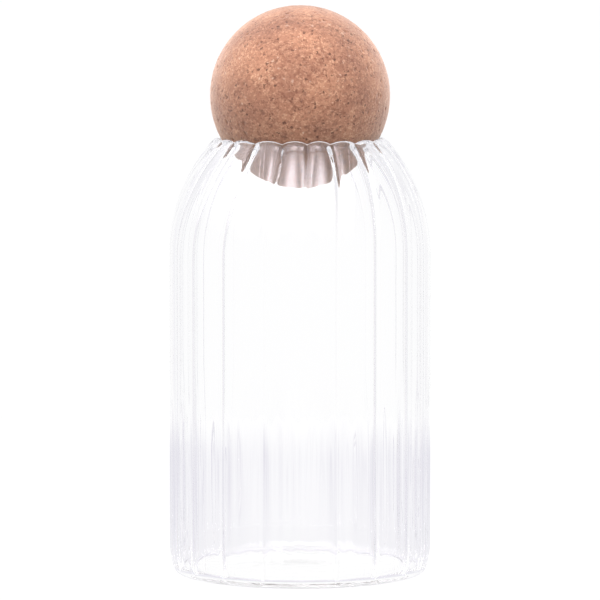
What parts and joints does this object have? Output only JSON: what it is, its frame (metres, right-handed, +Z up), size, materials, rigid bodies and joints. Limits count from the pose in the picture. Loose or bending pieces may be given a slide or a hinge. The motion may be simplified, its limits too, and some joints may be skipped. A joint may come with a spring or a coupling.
{
  "type": "ball-stoppered storage jar",
  "caption": "Ribbed clear glass storage jar with a tucked-in heel, round shoulder and wavy lip, closed by a loose cork ball that rests in the mouth and lifts off.",
  "frame": {"origin": "centre of the foot, on the surface that the jar stands on", "axes": "+Z up along the jar's axis; -Y towards the viewer, through a rib"},
  "size_m": [0.0994, 0.0994, 0.2169],
  "materials": {
    "glass": "clear blown glass, fire-polished",
    "cork": "fine agglomerated cork, sanded and unsealed"
  },
  "bodies": {
    "jar": {"glass_jar": "glass"},
    "stopper": {"cork_ball": "cork"}
  },
  "joints": [
    {"name": "stopper_lift", "type": "slide", "parent": "jar", "child": "stopper", "axis": [0, 0, 1], "range_m": [0, 0.12]}
  ]
}
